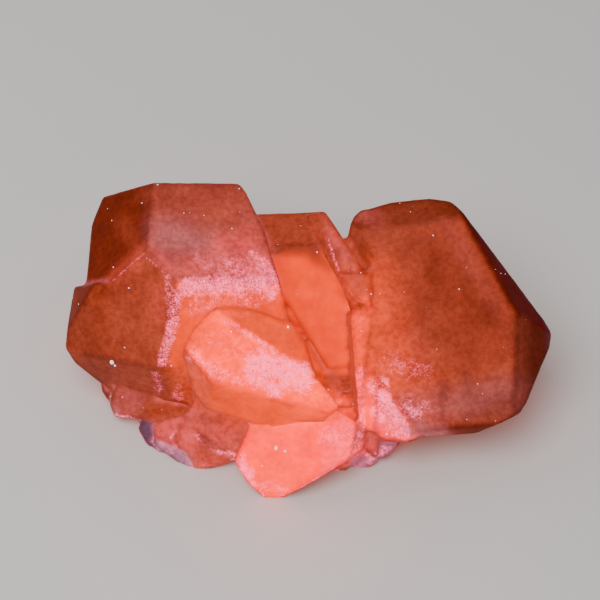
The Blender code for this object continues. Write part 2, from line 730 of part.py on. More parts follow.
def combine(target, group, operation):
    """Joins or cuts away every object of a collection, and removes them."""
    step = target.modifiers.new(operation.lower(), "BOOLEAN")
    step.operation = operation
    step.solver = "EXACT"
    step.operand_type = "COLLECTION"
    step.collection = group
    shaped = target.evaluated_get(bpy.context.evaluated_depsgraph_get())
    result = bpy.data.meshes.new_from_object(shaped)
    target.modifiers.clear()
    target.data = result
    for item in list(group.objects):
        bpy.data.objects.remove(item)
    bpy.data.collections.remove(group)


def ground_block():
    """Everything below the flat cut."""
    mesh = bmesh.new()
    size = 2.0 * BLANK_HALF
    low = Matrix.Translation((0.0, 0.0, CUT_LEVEL - BLANK_HALF))
    bmesh.ops.create_cube(mesh, size=size, matrix=low)
    data = bpy.data.meshes.new("ground")
    mesh.to_mesh(data)
    mesh.free()
    return bpy.data.objects.new("ground", data)


def crystal_material():
    """Orange calcite."""
    material = bpy.data.materials.new("calcite")
    material.use_nodes = True
    shader = material.node_tree.nodes["Principled BSDF"]
    shader.inputs["Base Color"].default_value = CRYSTAL_COLOUR
    shader.inputs["Roughness"].default_value = CRYSTAL_ROUGHNESS
    shader.inputs["Metallic"].default_value = 0.0
    return material


def tidy_mesh(target):
    """Triangulates, and drops what the joins left thinner than a few microns."""
    mesh = bmesh.new()
    mesh.from_mesh(target.data)
    bmesh.ops.remove_doubles(mesh, verts=mesh.verts, dist=SLIVER_MERGE)
    bmesh.ops.dissolve_degenerate(mesh, dist=SLIVER_WIDTH, edges=mesh.edges)
    bmesh.ops.triangulate(mesh, faces=mesh.faces)
    mesh.to_mesh(target.data)
    mesh.free()


def stand_at_origin(target):
    """Scales to metres, with the origin under the middle of the flat cut's box."""
    corners = [vertex.co for vertex in target.data.vertices]
    low = Vector([min(corner[axis] for corner in corners) for axis in range(3)])
    high = Vector([max(corner[axis] for corner in corners) for axis in range(3)])
    middle = (low + high) / 2.0
    move = Matrix.Translation((-middle.x, -middle.y, -low.z))
    target.data.transform(Matrix.Scale(MM, 4) @ move)


def build_cluster():
    """The whole cluster as one solid."""
    bodies = [body_of(make(), make.__name__) for make in CRYSTALS]
    grown = back_crystals() + fringe()
    bodies += [body_of(c, f"back_{index}") for index, c in enumerate(grown)]
    cluster = bodies[0]
    cluster.name = "calcite_cluster"
    bpy.context.scene.collection.objects.link(cluster)
    combine(cluster, gather("crystals", bodies[1:]), "UNION")
    cutters = [body_of(c, f"chip_{index}", worn=False) for index, c in enumerate(chips())]
    cutters.append(ground_block())
    combine(cluster, gather("cutters", cutters), "DIFFERENCE")
    tidy_mesh(cluster)
    stand_at_origin(cluster)
    cluster.data.materials.clear()
    cluster.data.materials.append(crystal_material())


def main():
    """Empties the scene and models the cluster."""
    for item in list(bpy.data.objects):
        bpy.data.objects.remove(item)
    build_cluster()


main()
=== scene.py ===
"""A calcite cluster dressed for rendering: etched and frosted crystal faces, worn edges, dust."""
import math
import random

import bmesh
import bpy
import numpy as np
from bpy.props import FloatProperty, FloatVectorProperty, IntProperty, PointerProperty
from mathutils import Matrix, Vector
from mathutils.bvhtree import BVHTree
from mathutils.kdtree import KDTree


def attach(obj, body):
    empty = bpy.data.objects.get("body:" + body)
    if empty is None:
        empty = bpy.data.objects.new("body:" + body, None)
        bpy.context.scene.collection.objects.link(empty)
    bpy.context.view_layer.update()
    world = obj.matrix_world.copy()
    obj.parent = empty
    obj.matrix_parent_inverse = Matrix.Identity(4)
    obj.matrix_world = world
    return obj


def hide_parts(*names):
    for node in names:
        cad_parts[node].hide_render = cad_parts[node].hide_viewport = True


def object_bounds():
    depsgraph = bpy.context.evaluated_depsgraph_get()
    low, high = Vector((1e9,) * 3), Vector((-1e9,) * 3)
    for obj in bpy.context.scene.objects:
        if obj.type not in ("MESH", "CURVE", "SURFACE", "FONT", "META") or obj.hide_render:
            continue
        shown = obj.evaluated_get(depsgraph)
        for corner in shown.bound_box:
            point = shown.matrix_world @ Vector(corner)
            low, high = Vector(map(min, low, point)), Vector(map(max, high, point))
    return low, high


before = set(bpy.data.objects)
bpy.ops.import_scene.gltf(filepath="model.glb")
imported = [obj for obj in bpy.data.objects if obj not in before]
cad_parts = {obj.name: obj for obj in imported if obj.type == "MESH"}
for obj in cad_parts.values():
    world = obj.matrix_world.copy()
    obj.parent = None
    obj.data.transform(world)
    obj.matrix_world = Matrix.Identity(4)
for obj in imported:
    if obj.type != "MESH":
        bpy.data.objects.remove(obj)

CAD_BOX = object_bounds()

bl_info = {
    "name": "Calcite Cluster",
    "version": (1, 0, 0),
    "blender": (4, 5, 0),
    "location": "View3D > Sidebar > Calcite",
    "description": "Dresses a cluster of calcite crystals: worn faces, frost, glow and dust",
    "category": "Object",
}

MM = 0.001
WELD_WIDTH = 2e-6
CLUSTER_NODE = "calcite_cluster"

# The crystals are laid out on a plane that leans back: u right, v up the plane, w towards the eye.
EYE_RISE = math.radians(50.0)
EYE_DISTANCE = 400.0 * MM
LAYOUT_CENTRE = Vector((-1.34, -0.555, 24.34)) * MM
ALONG = Vector((1.0, 0.0, 0.0))
UP_PLANE = Vector((0.0, math.sin(EYE_RISE), math.cos(EYE_RISE)))
TO_EYE = Vector((0.0, -math.cos(EYE_RISE), math.sin(EYE_RISE)))
FRAME_WIDTH = 120.0 * MM
SENSOR_WIDTH = 36.0


def on_layout(u, v, w=0.0):
    """The point, in metres, at (u, v, w) millimetres on the layout plane."""
    depth = w * MM
    nearer = (EYE_DISTANCE - depth) / EYE_DISTANCE
    return LAYOUT_CENTRE + nearer * MM * (u * ALONG + v * UP_PLANE) + depth * TO_EYE


def facing(slope):
    """The direction of a face that rises by slope along u and along v."""
    return (TO_EYE - slope[0] * ALONG - slope[1] * UP_PLANE).normalized()


# ---------------------------------------------------------------- numbers about the surface


def lattice(cells, seed):
    """A steady random value from 0 to 1 for each whole-number cell."""
    x, y, z = (cells[..., axis].astype(np.int64) & 0xFFFFFFFF for axis in range(3))
    mixed = (x * 73856093 ^ y * 19349663 ^ z * 83492791 ^ seed * 2654435761) & 0xFFFFFFFF
    mixed = (mixed ^ (mixed >> 15)) * 2246822519 & 0xFFFFFFFF
    mixed = (mixed ^ (mixed >> 13)) * 3266489917 & 0xFFFFFFFF
    return ((mixed ^ (mixed >> 16)) & 0xFFFFFF) / float(0xFFFFFF)


def noise(points, wavelength, seed):
    """Smooth noise from -1 to 1 with the given wavelength, at points in metres."""
    place = points / wavelength
    cell = np.floor(place)
    part = place - cell
    part = part * part * part * (part * (part * 6.0 - 15.0) + 10.0)
    total = np.zeros(len(points))
    for corner in range(8):
        step = np.array([corner & 1, corner >> 1 & 1, corner >> 2 & 1])
        share = np.prod(np.where(step == 1, part, 1.0 - part), axis=1)
        total += share * lattice(cell + step, seed)
    return total * 2.0 - 1.0


def ramp(value, low, high):
    """0 below low, 1 above high, smooth between."""
    share = np.clip((value - low) / (high - low), 0.0, 1.0)
    return share * share * (3.0 - 2.0 * share)


def positions(mesh):
    """The mesh's corners as an array."""
    places = np.empty(len(mesh.vertices) * 3)
    mesh.vertices.foreach_get("co", places)
    return places.reshape(-1, 3)


def directions(mesh):
    """The mesh's corner normals as an array."""
    found = np.empty(len(mesh.vertices) * 3, np.float32)
    mesh.vertex_normals.foreach_get("vector", found)
    return found.reshape(-1, 3).astype(float)


# Least angle, in degrees, between two faces that counts as an edge, and the steps along it.
EDGE_ANGLE = 14.0
EDGE_STEP = 0.3 * MM
# Edges this near the flat cut, or beside faces narrower than a sliver, are passed over.
CUT_BAND = 0.3 * MM
SLIVER = 0.25 * MM
# How far an outer edge lends its shown face's colour, and the least likeness of two directions.
RIM_REACH = 1.0 * MM
SAME_WAY = 0.6
# How far above the surface a line of sight starts.
SIGHT_LIFT = 0.4 * MM


class SolidFacts:
    """What the plain solid says about each point near it: its flat face, its edges, its clefts."""

    def __init__(self, source):
        mesh = bmesh.new()
        mesh.from_mesh(source.data)
        bmesh.ops.remove_doubles(mesh, verts=mesh.verts, dist=WELD_WIDTH)
        mesh.normal_update()
        self.tree = BVHTree.FromBMesh(mesh)
        ridges = []
        clefts = []
        outer = []
        self.outer_looks = []
        for edge in mesh.edges:
            if len(edge.link_faces) != 2:
                continue
            first, second = edge.link_faces
            angle = math.degrees(first.normal.angle(second.normal, 0.0))
            if angle < EDGE_ANGLE:
                continue
            start, end = (vertex.co for vertex in edge.verts)
            length = (end - start).length
            narrow = min(first.calc_area(), second.calc_area()) / max(length, 1e-6)
            if max(start.z, end.z) < CUT_BAND or narrow < SLIVER:
                continue
            centre = first.calc_center_median() - second.calc_center_median()
            group = ridges if centre.dot(first.normal) < 0.0 else clefts
            count = max(1, int(length / EDGE_STEP))
            steps = [start.lerp(end, index / count) for index in range(count + 1)]
            group += steps
            sight = (LAYOUT_CENTRE + EYE_DISTANCE * TO_EYE - start).normalized()
            hidden, shown = sorted((first.normal, second.normal), key=sight.dot)
            if group is ridges and hidden.dot(sight) < 0.0 < shown.dot(sight):
                outer += steps
                self.outer_looks += [tuple(shown)] * len(steps)
        mesh.free()
        self.ridges = self.make_finder(ridges)
        self.clefts = self.make_finder(clefts)
        self.outer = self.make_finder(outer)

    @staticmethod
    def make_finder(points):
        """A finder of the nearest of the points."""
        finder = KDTree(len(points))
        for index, point in enumerate(points):
            finder.insert(point, index)
        finder.balance()
        return finder

    def at(self, places, normals):
        """Flat normals for shape and for colour, and how far a ridge, a cleft and an outer edge are."""
        flats = np.empty_like(places)
        looks = np.empty_like(places)
        to_ridge = np.empty(len(places))
        to_cleft = np.empty(len(places))
        to_outer = np.empty(len(places))
        for index, place in enumerate(places):
            flats[index] = self.tree.find_nearest(place)[1]
            to_ridge[index] = self.ridges.find(place)[2]
            to_cleft[index] = self.clefts.find(place)[2]
            _, nearest, to_outer[index] = self.outer.find(place)
            beside = to_outer[index] < RIM_REACH
            looks[index] = self.outer_looks[nearest] if beside else flats[index]
            if looks[index] @ normals[index] < SAME_WAY:
                looks[index] = normals[index]
        return flats, looks, to_ridge, to_cleft, to_outer

    def in_sight(self, places, looks):
        """1 where nothing stands between a place and the layout's eye, 0 where a crystal does."""
        eye = np.array(LAYOUT_CENTRE + EYE_DISTANCE * TO_EYE)
        starts = places + SIGHT_LIFT * looks
        clear = np.ones(len(places))
        for index, start in enumerate(starts):
            if self.tree.ray_cast(start, eye - start)[0] is not None:
                clear[index] = 0.0
        return clear


# ---------------------------------------------------------------- colours of the crystals

# Light that the crystals give back, by name: red, green and blue, above 1 where they give off painted
# glow. Besides the crystals' own colours they carry painted light and shade.
TINTS = {
    "ember": (0.080, 0.001, 0.001),
    "shadow": (0.10, 0.010, 0.004),
    "umber": (0.17, 0.014, 0.002),
    "bark": (0.19, 0.024, 0.008),
    "brick": (0.35, 0.052, 0.028),
    "dusk": (0.24, 0.036, 0.018),
    "rust": (0.45, 0.062, 0.028),
    "rose": (0.54, 0.080, 0.068),
    "amber": (0.43, 0.054, 0.024),
    "clay": (0.75, 0.085, 0.050),
    "orange": (1.15, 0.085, 0.020),
    "flame": (1.50, 0.085, 0.004),
    "clear": (1.60, 0.078, 0.001),
    "coral": (2.70, 0.080, 0.010),
    "salmon": (2.75, 0.030, 0.020),
    "pink": (2.70, 0.060, 0.120),
    "shell": (1.05, 0.100, 0.105),
    "lilac": (0.62, 0.170, 0.290),
    "plum": (0.15, 0.060, 0.110),
    "mauve": (0.46, 0.110, 0.120),
    "haze": (0.62, 0.160, 0.180),
    "silver": (0.44, 0.260, 0.420),
    "blush": (0.82, 0.090, 0.070),
}

# What the painted highlight, a thin pale rim along the outer edges, adds.
PAINTED_RIM_LIGHT = (0.55, 0.10, 0.13)

# How free of grain a tint is, from 0 to 1.
CALMNESS = {"clear": 1.0, "salmon": 0.5, "flame": 0.5, "orange": 0.4, "ember": 0.6}

# How weakly a face that isn't named below takes the mixed orange.
UNNAMED_SHARE = 1e-12

# The big flat faces, each with its own colour and painted light or shade by how it faces the light:
# (place on the layout, slope along u and v, reach in mm, tint).
FACE_TINTS_WITH_PAINTED_SHADE = (
    # left block
    ((-18.0, 13.0, 4.0), (-0.25, -0.50), 24.0, "rose"),
    ((-34.0, -3.0, 4.0), (0.42, 0.22), 20.0, "rust"),
    ((-36.0, 13.0, 0.0), (1.02, -0.55), 22.0, "umber"),
    ((-15.7, -2.0, 6.5), (-0.22, 0.36), 16.0, "flame"),
    ((-34.0, -15.0, -1.0), (0.61, 1.26), 14.0, "brick"),
    ((-24.0, -18.0, 0.0), (-0.09, 1.04), 9.0, "rust"),
    ((-44.5, 0.0, -2.0), (1.62, -0.52), 8.0, "umber"),
    ((-42.0, -14.0, -5.0), (0.61, 1.26), 5.0, "dusk"),
    # right block
    ((28.0, -4.0, 8.0), (0.05, 0.05), 30.0, "amber"),
    ((46.0, -12.0, 6.0), (-0.85, 0.08), 16.0, "shadow"),
    ((42.6, 2.5, 6.0), (-1.20, -0.65), 22.0, "ember"),
    ((38.1, 7.0, 8.7), (-0.42, -0.21), 22.0, "umber"),
    ((24.0, 18.0, 6.0), (0.19, -0.85), 20.0, "bark"),
    ((31.0, -26.5, 5.5), (-0.10, 1.80), 14.0, "umber"),
    ((11.7, 10.4, 6.0), (1.55, 0.76), 9.0, "brick"),
    # ledge and its foot
    ((12.1, -8.0, 6.8), (0.30, 0.04), 12.0, "coral"),
    ((13.6, -21.0, 6.0), (-0.25, 0.11), 10.0, "salmon"),
    ((18.5, -24.0, 5.6), (0.05, 0.12), 9.0, "pink"),
    ((17.0, -28.0, 4.9), (0.35, 1.80), 7.0, "clay"),
    # clear crystal and the cleft
    ((3.0, -3.0, -4.5), (0.05, 0.25), 14.5, "clear"),
    ((-2.6, 14.0, -4.9), (0.05, -0.90), 14.0, "rust"),
    # bar
    ((8.2, 10.2, 7.0), (0.0, -0.15), 13.0, "clay"),
    ((11.8, 2.9, 8.7), (0.02, -0.12), 6.0, "orange"),
    ((4.0, 12.8, 5.4), (1.00, 0.22), 10.0, "rust"),
    ((10.0, 1.0, 7.4), (1.10, 0.95), 5.0, "clay"),
    ((12.7, -1.5, 7.7), (0.40, 1.90), 4.0, "dusk"),
    # front crystal
    ((-13.0, -10.5, 16.4), (-0.05, 0.15), 12.0, "coral"),
    ((-1.0, -15.5, 15.6), (-0.05, 0.15), 12.0, "coral"),
    ((-5.0, -6.3, 14.5), (-0.51, -0.55), 12.0, "flame"),
    ((-15.5, -20.5, 12.8), (0.14, 0.95), 9.5, "flame"),
    ((-3.0, -22.3, 12.2), (0.14, 0.95), 10.0, "flame"),
    ((-20.4, -16.6, 13.8), (0.85, 0.85), 9.0, "clay"),
    # bottom crystal
    ((-3.4, -30.5, 6.6), (0.0, 0.30), 16.0, "salmon"),
    ((7.6, -27.9, 6.7), (-0.25, 0.33), 9.0, "pink"),
    ((12.6, -28.5, 4.0), (-1.0, 0.50), 5.0, "shell"),
    # small crystals low on the left
    ((-34.6, -20.6, -6.1), (0.30, 0.35), 8.0, "rose"),
    ((-27.5, -22.0, -5.8), (-0.05, 0.50), 8.0, "rust"),
    ((-38.6, -18.6, -8.8), (0.60, 0.10), 4.0, "dusk"),
    ((-30.7, -26.5, -6.0), (0.50, 0.15), 4.0, "plum"),
    ((-26.4, -25.8, -1.3), (0.25, 0.20), 4.5, "shell"),
    ((-22.6, -27.9, -0.4), (0.02, 0.25), 4.0, "shell"),
    ((-24.9, -30.8, -3.3), (0.20, 0.20), 5.0, "lilac"),
    ((-15.4, -26.6, 1.2), (0.22, 0.20), 9.0, "blush"),
    ((-18.4, -31.5, -1.5), (0.10, 0.35), 6.0, "blush"),
    # small crystals low on the right
    ((14.4, -28.7, 1.0), (-0.05, 0.35), 3.5, "shell"),
    ((13.2, -32.1, -2.0), (0.10, 0.30), 3.5, "lilac"),
    ((17.0, -30.5, -1.6), (-0.10, 0.30), 3.5, "lilac"),
    ((8.6, -33.4, -6.0), (0.0, 0.30), 3.5, "umber"),
)

# Soft changes of tint within the faces, partly the crystals' own mottling and partly painted light and
# shade: (start and end on the layout, reach in mm, tint, share).
CLOUDS = (
    # left block: a dull rose middle, warmer corner and lower edge
    ((-27.0, 13.0), (-16.0, 10.5), 4.5, "mauve", 0.75),
    ((-27.0, 22.6), (-11.0, 22.4), 4.6, "brick", 0.75),
    ((-28.0, 19.0), (-23.0, 18.4), 2.6, "brick", 0.5),
    ((-18.0, 17.0), (-9.0, 12.0), 3.5, "rust", 0.5),
    ((-41.0, 14.0), (-37.0, 6.0), 6.0, "umber", 0.5),
    ((-35.6, 15.0), (-33.0, 10.6), 1.8, "rust", 0.35),
    ((-46.0, -1.0), (-46.0, -9.0), 2.2, "dusk", 0.9),
    ((-43.0, -3.0), (-42.0, -10.0), 3.0, "dusk", 0.6),
    ((-40.0, 1.0), (-40.4, -8.0), 2.6, "umber", 0.4),
    ((-24.0, -13.4), (-23.4, -15.4), 1.2, "rust", 0.7),
    ((-15.0, 11.0), (-11.0, 10.5), 2.5, "shell", 0.75),
    # painted highlight along the fold between two faces
    ((-28.4, 8.6), (-26.0, 5.4), 1.4, "shell", 0.7),
    ((-10.0, 12.0), (-6.0, 4.0), 3.0, "shell", 0.6),
    ((-22.0, 6.4), (-8.0, 6.4), 3.0, "shell", 0.5),
    ((-36.4, 4.6), (-31.0, 10.0), 2.2, "clay", 0.45),
    # right block: bright beside the ledge
    ((15.5, 4.0), (16.5, -14.0), 5.5, "orange", 0.85),
    ((18.5, -14.0), (25.0, -21.0), 6.0, "orange", 0.45),
    ((17.0, 10.0), (22.0, 2.0), 5.0, "rust", 0.4),
    # small patches on several crystals
    ((36.0, -22.6), (42.0, -20.0), 1.8, "dusk", 0.45),
    ((12.0, 17.2), (15.0, 17.0), 2.2, "rose", 0.7),
    ((18.0, 17.0), (24.0, 17.4), 2.4, "brick", 0.5),
    ((-21.0, -8.0), (-18.4, -6.0), 2.2, "flame", 0.6),
    ((-0.6, -5.4), (1.8, -7.4), 1.1, "clear", 0.9),
    ((-2.4, -2.4), (-0.4, -5.0), 0.9, "clear", 0.8),
    ((-40.0, -17.6), (-38.8, -19.2), 1.0, "dusk", 0.6),
    ((-38.4, -21.2), (-36.8, -22.6), 1.1, "haze", 0.6),
    ((-29.0, 2.4), (-28.0, -3.4), 1.8, "clay", 0.7),
    ((6.8, -14.0), (7.8, -16.6), 1.2, "clay", 0.7),
    ((13.0, 0.0), (14.0, -1.2), 1.0, "coral", 0.6),
    ((-4.8, 2.4), (-3.8, 0.2), 1.0, "coral", 0.8),
    ((-27.6, -30.2), (-23.4, -32.6), 1.5, "silver", 0.8),
    # right block: a broad darker middle, dark upright veins, a dull low edge
    ((28.0, 5.0), (36.0, -3.0), 8.0, "umber", 0.38),
    ((23.0, -7.6), (25.0, -10.0), 2.2, "clay", 0.4),
    ((26.0, 11.0), (26.4, 4.0), 1.4, "umber", 0.3),
    ((28.8, -17.0), (28.4, -24.0), 1.1, "umber", 0.6),
    ((33.2, -15.0), (33.4, -24.0), 1.0, "dusk", 0.5),
    ((22.0, -22.5), (42.0, -19.0), 4.0, "mauve", 0.55),
    ((22.0, -26.2), (28.4, -26.8), 1.7, "haze", 0.95),
    ((38.0, -22.6), (42.4, -20.6), 1.9, "dusk", 0.6),
    ((43.0, -5.0), (43.0, -12.0), 1.2, "brick", 0.4),
    ((33.0, 4.0), (37.4, -2.0), 3.0, "bark", 0.35),
    ((29.0, 15.6), (39.6, -2.6), 1.5, "rose", 0.25),
    # painted shade where the front face darkens towards the shaded right side
    ((44.2, -5.0), (44.2, -20.0), 1.7, "dusk", 0.5),
    ((51.4, -5.0), (50.8, -9.0), 1.6, "plum", 0.5),
    ((12.2, 10.4), (12.8, 6.0), 1.0, "bark", 0.7),
    # bar: a paler front face beside a brown one
    ((6.0, 13.2), (8.4, 8.6), 1.3, "shell", 0.7),
    ((9.0, 7.4), (11.4, 2.4), 1.9, "rose", 0.45),
    ((4.4, 11.4), (6.4, 6.6), 0.8, "dusk", 0.40),
    ((7.4, 4.4), (9.4, -0.4), 0.7, "bark", 0.5),
    # ledge: pinker low down
    ((12.0, -15.0), (12.2, -23.0), 1.3, "pink", 0.6),
    # clear crystal: painted light, brightest low down, with painted shade along its top edge
    ((4.0, 3.0), (6.0, -9.0), 5.0, "clear", 0.8),
    ((3.0, 9.0), (6.0, 6.4), 1.7, "rust", 0.8),
    ((-5.0, 10.0), (7.0, 9.6), 1.3, "rust", 0.85),
    ((8.6, -20.4), (11.8, -22.4), 1.6, "coral", 0.7),
    ((5.4, -15.4), (9.2, -15.6), 0.7, "rust", 0.9),
    ((6.4, -16.2), (9.4, -17.4), 1.4, "rust", 0.6),
    # painted shade on the front crystal's shaded side, beside the clear crystal
    ((1.7, -9.0), (4.6, -13.6), 0.7, "rust", 0.7),
    # front crystal: darker low left, whiter middle
    ((-22.6, -15.0), (-14.0, -22.5), 3.6, "orange", 0.6),
    ((-12.0, -3.5), (-2.0, -7.0), 2.6, "orange", 0.5),
    ((5.8, -19.2), (8.0, -22.0), 1.7, "coral", 0.8),
    ((6.4, -15.0), (7.2, -17.0), 1.1, "clay", 0.7),
    ((0.5, -21.6), (6.0, -22.8), 1.6, "coral", 0.9),
    # bottom crystal: pinker to the right, dusky end
    ((12.4, -27.6), (12.8, -30.0), 1.4, "shell", 0.8),
    ((10.0, -31.4), (12.6, -29.8), 1.2, "pink", 0.6),
    ((8.4, -33.9), (10.0, -33.5), 0.8, "haze", 0.6),
    ((-8.0, -34.0), (-3.0, -38.0), 4.0, "coral", 0.5),
    ((-9.0, -25.6), (-4.0, -25.0), 1.7, "flame", 0.5),
    # low crystals: paler facets, and painted shade in the steps between them
    ((-27.4, -25.0), (-26.4, -27.0), 1.3, "shell", 0.7),
    ((-23.6, -27.0), (-21.2, -29.0), 1.6, "shell", 0.9),
    ((-22.0, -23.4), (-16.0, -23.8), 1.2, "brick", 0.35),
    ((-16.6, -25.8), (-13.8, -28.0), 1.5, "shell", 0.5),
    ((-20.4, -30.6), (-15.6, -31.8), 1.4, "rust", 0.5),
    ((-20.5, -26.2), (-19.0, -28.2), 0.38, "dusk", 0.9),
    ((-19.0, -28.2), (-15.5, -30.2), 0.38, "dusk", 0.9),
    ((-23.8, -25.0), (-25.2, -27.3), 0.38, "rust", 0.9),
    ((-25.2, -27.3), (-24.2, -29.6), 0.38, "rust", 0.8),
    ((-33.0, -22.8), (-24.0, -22.0), 0.6, "dusk", 0.4),
    ((-28.6, -28.8), (-27.2, -30.4), 0.9, "silver", 0.8),
)

# Frosted bloom, and painted highlights along some ridges: (start and end on the layout, half width in
# mm, strength, least w in mm).
FROST_AND_RIDGE_HIGHLIGHTS = (
    # strips along the left block's worn edges, and the speckles around them
    ((-22.2, 2.3), (-7.6, 3.0), 2.3, 0.90, 3.0),
    ((-26.4, 2.2), (-23.4, 1.2), 1.2, 0.50, 3.0),
    ((-8.0, 3.6), (-5.6, 1.4), 1.6, 0.95, 3.0),
    ((-14.0, 6.2), (-9.0, 5.6), 2.4, 0.50, 3.0),
    ((-24.0, 1.6), (-27.6, -12.4), 1.5, 0.66, 3.0),
    ((-26.2, 4.4), (-26.0, -1.0), 1.3, 0.44, 3.0),
    ((-20.0, 7.4), (-8.0, 8.2), 3.4, 0.32, 3.0),
    ((-22.0, -1.0), (-10.0, -0.6), 3.0, 0.40, 3.0),
    ((-9.6, 11.6), (-5.0, 3.4), 2.0, 0.62, 3.0),
    ((-5.6, 6.4), (-4.2, 2.0), 1.0, 0.80, 3.0),
    ((-30.4, 8.2), (-25.6, 3.8), 0.32, 0.56, 0.0),
    ((-30.8, 9.8), (-39.4, 2.4), 0.26, 0.52, -5.0),
    ((-30.0, 14.6), (-30.6, 10.0), 0.30, 0.44, -5.0),
    ((-28.0, 12.0), (-14.0, 12.0), 4.0, 0.16, 0.0),
    ((-29.0, -14.6), (-28.0, -18.0), 1.6, 0.45, -9.0),
    ((-24.6, -17.5), (-24.2, -20.5), 1.6, 0.40, -9.0),
    # front crystal
    ((-8.0, -13.2), (0.6, -15.4), 3.4, 1.00, 10.0),
    ((-7.0, -11.6), (0.6, -13.8), 1.8, 1.00, 10.0),
    ((-18.6, -13.4), (-9.0, -17.0), 2.4, 0.45, 10.0),
    ((-10.0, -14.6), (-5.0, -17.6), 2.0, 0.90, 10.0),
    ((-14.5, -4.2), (2.4, -15.0), 0.8, 0.60, 10.0),
    ((-20.8, -11.4), (-17.5, -14.8), 2.2, 0.60, 10.0),
    ((-17.0, -8.0), (-8.0, -13.0), 4.5, 0.30, 10.0),
    # right block: along the foot of the ledge and the low left corner
    ((15.4, -18.0), (19.6, -23.6), 2.6, 0.95, 3.0),
    ((17.0, -24.0), (20.0, -26.6), 2.4, 0.60, 3.0),
    ((18.4, -21.4), (20.6, -24.4), 1.5, 0.90, 3.0),
    ((20.8, -22.0), (23.0, -22.8), 1.6, 0.70, 3.0),
    ((23.5, -24.4), (30.0, -24.8), 1.4, 0.25, 3.0),
    ((12.2, -14.0), (12.4, -26.0), 1.2, 0.60, 3.0),
    ((18.0, -12.6), (24.0, -14.6), 4.0, 0.34, 3.0),
    ((21.0, -20.4), (26.0, -21.4), 2.6, 0.34, 3.0),
    ((11.4, -15.0), (12.4, -27.0), 1.0, 0.66, 3.0),
    ((6.0, -19.6), (8.4, -22.0), 1.2, 0.40, 3.0),
    ((15.0, -21.6), (16.4, -23.8), 1.4, 1.00, 3.0),
    # bar
    ((5.4, 12.8), (7.0, 7.8), 0.42, 0.75, 3.0),
    ((7.0, 7.8), (8.4, 4.0), 0.42, 0.72, 3.0),
    ((8.6, 3.6), (10.8, 0.2), 0.36, 0.72, 3.0),
    ((10.8, 0.2), (13.0, -1.0), 0.36, 0.60, 3.0),
    ((8.2, 5.0), (11.0, 6.2), 0.30, 0.56, 3.0),
    # bottom crystal
    ((5.4, -27.0), (11.0, -28.0), 4.0, 0.42, 0.0),
    ((-11.8, -32.4), (-10.0, -36.6), 1.9, 0.95, -4.0),
    ((-9.6, -37.2), (-3.0, -38.2), 1.6, 0.50, -4.0),
    ((9.6, -31.4), (12.2, -30.2), 1.2, 0.55, -4.0),
    ((-13.5, -31.9), (-11.2, -36.2), 0.55, 1.0, -9.0),
    ((-11.0, -36.5), (-6.8, -39.7), 0.55, 1.0, -9.0),
    ((-6.6, -39.8), (-2.4, -39.3), 0.55, 1.0, -9.0),
    ((-2.0, -39.0), (7.2, -33.9), 0.50, 1.0, -9.0),
    ((-9.0, -34.4), (2.0, -34.0), 2.4, 0.22, 0.0),
    # painted highlights: fine bright lines along the ridges and thin rims of the low crystals
    ((-20.9, -26.9), (-19.3, -29.0), 0.34, 0.85, -20.0),
    ((-19.3, -29.0), (-15.7, -31.0), 0.34, 0.85, -20.0),
    ((-16.2, -30.3), (-13.5, -31.0), 0.40, 0.95, -20.0),
    ((-24.5, -25.6), (-26.0, -27.6), 0.32, 0.75, -20.0),
    ((-29.2, -24.6), (-29.5, -27.4), 0.26, 0.55, -20.0),
    ((-29.6, -27.6), (-27.2, -28.6), 0.28, 0.60, -20.0),
    ((-39.8, -19.4), (-38.0, -22.4), 0.5, 0.90, -20.0),
    ((-37.8, -22.8), (-32.0, -24.2), 0.45, 0.95, -20.0),
    ((-32.9, -25.6), (-30.6, -29.4), 0.4, 0.70, -20.0),
    ((-29.6, -28.4), (-22.4, -33.4), 0.9, 0.45, -20.0),
    ((-29.6, -28.0), (-25.0, -29.6), 0.6, 0.35, -20.0),
    ((-20.8, -33.6), (-13.6, -32.6), 0.7, 0.45, -20.0),
    ((11.4, -33.4), (15.6, -32.2), 0.7, 0.50, -20.0),
    ((14.0, -31.4), (16.6, -30.6), 1.3, 0.75, -20.0),
    ((15.6, -31.6), (19.2, -29.6), 0.7, 0.50, -20.0),
)

# Specks of dust that catch the eye: a place on the layout and a width in mm.
KNOWN_SPECKS = (
    (-37.6, -12.4, 0.9),
    (-37.0, -13.1, 0.4),
    (-4.8, -29.6, 0.9),
    (-3.0, -30.2, 0.5),
    (17.4, -26.8, 0.4),
    (14.2, 1.2, 0.4),
    (-2.4, -5.4, 0.5),
    (3.4, 9.6, 0.4),
    (-34.2, 2.4, 0.4),
    (-31.6, 19.4, 0.3),
)


class CrystalSettings(bpy.types.PropertyGroup):
    """Sizes and colours of the crystals."""

    grain: FloatProperty(
        name="Surface Grain",
        description="Size of the smallest shaped detail",
        default=0.50 * MM,
        min=0.2 * MM,
        unit="LENGTH",
        precision=5,
    )
    swell: FloatProperty(
        name="Face Swell",
        description="How far the faces roll in and out of flat",
        default=0.05 * MM,
        unit="LENGTH",
        precision=5,
    )
    etching: FloatProperty(
        name="Etching",
        description="Depth of the fine etched pits on the faces",
        default=0.03 * MM,
        unit="LENGTH",
        precision=5,
    )
    edge_wear: FloatProperty(
        name="Edge Wear",
        description="Depth of the nicks along the edges",
        default=0.45 * MM,
        unit="LENGTH",
        precision=5,
    )
    brightness: FloatProperty(
        name="Brightness",
        description="How strongly the crystals give their colour back",
        default=1.0,
        min=0.0,
    )
    # painted glow: the share of each colour that the crystals give off as their own light, standing in
    # for fluorescence
    painted_glow_share: FloatProperty(
        name="Own Light",
        description="Share of the colour that glows from inside instead of reflecting",
        default=0.62,
        min=0.0,
        max=1.0,
    )
    frost: FloatVectorProperty(
        name="Frost Colour",
        description="The frosted bloom on edges and faces",
        default=(0.95, 0.26, 0.40),
        subtype="COLOR",
        size=3,
        min=0.0,
        max=1.0,
    )


